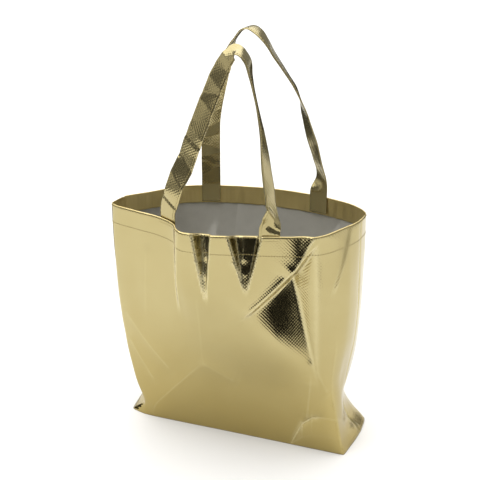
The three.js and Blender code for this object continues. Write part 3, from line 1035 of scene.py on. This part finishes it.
# %% The table
def plain_material(name, colours, roughness):
    """Paint or paper that clouds slightly between two colours."""
    material, tree = new_material(name)
    grain = add(tree, "TexNoise", Scale=40.0, Detail=4.0).outputs["Fac"]
    return finished(material, tree, Base_Color=mixed(tree, grain, *colours), Roughness=roughness)


def stage_piece(name, corners, faces, material):
    """A mesh that belongs to the set and not to the bag."""
    mesh = bpy.data.meshes.new(name)
    mesh.from_pydata(corners, [], faces)
    mesh.materials.append(material)
    piece = bpy.data.objects.new(name, mesh)
    bpy.context.scene.collection.objects.link(piece)
    return piece


FLOOR = 30.0  # metres from the middle to each edge
floor = stage_piece(
    "table",
    [(-FLOOR, -FLOOR, 0), (FLOOR, -FLOOR, 0), (FLOOR, FLOOR, 0), (-FLOOR, FLOOR, 0)],
    [(0, 1, 2, 3)],
    plain_material("painted_table", ("#f4f3f1", "#f6f5f3"), 0.7),
)


# %% The black cards and the lit silks
def card(name, headings, distance, foot, top, material):
    """A curved card round the set, in 16 flat strips: headings in degrees, 0 in front and 90 on the
    right; the rest in metres."""
    strips = 16
    turns = np.radians(np.linspace(*headings, strips + 1))
    lower = np.stack([distance * np.sin(turns), -distance * np.cos(turns), 0 * turns + foot], -1)
    upper = lower + np.array([0, 0, top - foot])
    k = np.arange(strips)
    faces = np.stack([k, k + 1, k + strips + 2, k + strips + 1], -1).tolist()
    made = stage_piece(name, np.concatenate([lower, upper]).tolist(), faces, material)
    made.visible_camera = made.visible_diffuse = made.visible_shadow = False
    return made


def glowing(name, colour, strength):
    """Silk lit from behind: it gives out an even light."""
    material, tree = new_material(name)
    return finished(material, tree, "Emission", Color=linear(colour), Strength=strength)


black = plain_material("black_card", ("#050505", "#0a0a0a"), 0.9)
silk = glowing("lit_silk", "#fffdf8", 0.75)
dim_silk = glowing("lit_silk_dim", "#fffdf8", 0.6)
card("black_card_front", (-44, 2), 1.15, 0.06, 0.85, black)
card("black_card_near", (2, 26), 0.8, 0.14, 0.7, black)
card("black_card_right", (26, 58), 0.77, 0.045, 0.7, black)
card("black_card_left", (-66, -44), 1.15, 0.54, 1.1, black)
card("black_card_low_left", (-110, -44), 1.2, 0.05, 0.24, black)
card("black_card_rear", (150, 200), 1.15, 0.001, 0.42, black)
card("black_card_rear_left", (204, 262), 0.42, 0.1, 0.42, black)
card("silk_low_left", (-64, -44), 1.15, 0.24, 0.54, dim_silk)
card("silk_left", (-108, -66), 1.35, 0.24, 1.1, silk)
card("silk_right", (60, 136), 1.35, 0.001, 1.1, dim_silk)


# %% Sun, soft box and sky
def lamp(name, kind, energy, location, aim, **settings):
    """A light at a place, turned to face its aim."""
    data = bpy.data.lights.new(name, kind)
    data.energy = energy
    for key, value in settings.items():
        setattr(data, key, value)
    made = bpy.data.objects.new(name, data)
    made.location = location
    made.rotation_mode = "QUATERNION"
    made.rotation_quaternion = (Vector(aim) - Vector(location)).to_track_quat("-Z", "Y")
    bpy.context.scene.collection.objects.link(made)
    return made


lamp("sky_sun", "SUN", 3.9, (-0.45, 0.75, 2.8), (0, 0, 0), angle=math.radians(100))
lamp("soft_box", "AREA", 12, (-1.1, -1.2, 1.9), (0, 0, 0.2), shape="RECTANGLE", size=1.4, size_y=1.0)
world = bpy.data.worlds.new("studio")
bpy.context.scene.world = world
world.use_nodes = True
sky = world.node_tree.nodes["Background"]
sky.inputs["Color"].default_value = linear("#a6a6a4")
sky.inputs["Strength"].default_value = 0.6
bpy.context.scene.view_settings.view_transform = "Standard"

# %% [markdown]
# ## Tying the pieces to the frame
# The flaps, the seam bars, the corner rows and the base ride on one body; the other pieces have their
# transforms baked in. The CAD solids that the new pieces stand for are hidden.


def bend_wall(piece):
    """The piece's transform is baked into its mesh."""
    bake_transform(piece)


def bend_strap(piece):
    """The piece's transform is baked into its mesh."""
    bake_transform(piece)


for side, wall_piece, hem_piece, rows, strap in (
    ("front", front_wall, front_hem, front_rows, front_strap),
    ("rear", rear_wall, rear_hem, rear_rows, rear_strap),
):
    for piece in (wall_piece, hem_piece, *rows):
        bend_wall(piece)
    for piece in (strap, strap_rows[side]):
        bend_strap(piece)
    for name in (f"{side}_left", f"{side}_right"):
        bend_wall(foot_rows[name])
        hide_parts(f"{name}_foot_stitch")
    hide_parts(f"{side}_panel")
    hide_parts(f"{side}_hem_facing")
    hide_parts(f"{side}_rim_stitch")
    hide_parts(f"{side}_hem_stitch")
    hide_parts(f"{side}_strap", f"{side}_left_strap_end", f"{side}_right_strap_end")
    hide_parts(f"{side}_strap_edge_stitch")
for side, flap, seam_bar in (("right", right_flap, right_bar), ("left", left_flap, left_bar)):
    for piece in (flap, seam_bar, corner_rows[side]):
        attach(piece, "bag")
    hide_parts(f"{side}_seam_allowance", f"{side}_seam_stitch")
    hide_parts(f"{side}_corner_stitch")
    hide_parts(f"{side}_side_front")
    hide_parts(f"{side}_side_rear")
    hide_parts(f"{side}_hem_facing")
    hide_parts(f"{side}_rim_stitch")
    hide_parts(f"{side}_hem_stitch")
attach(base, "bag")
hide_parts("base_panel")
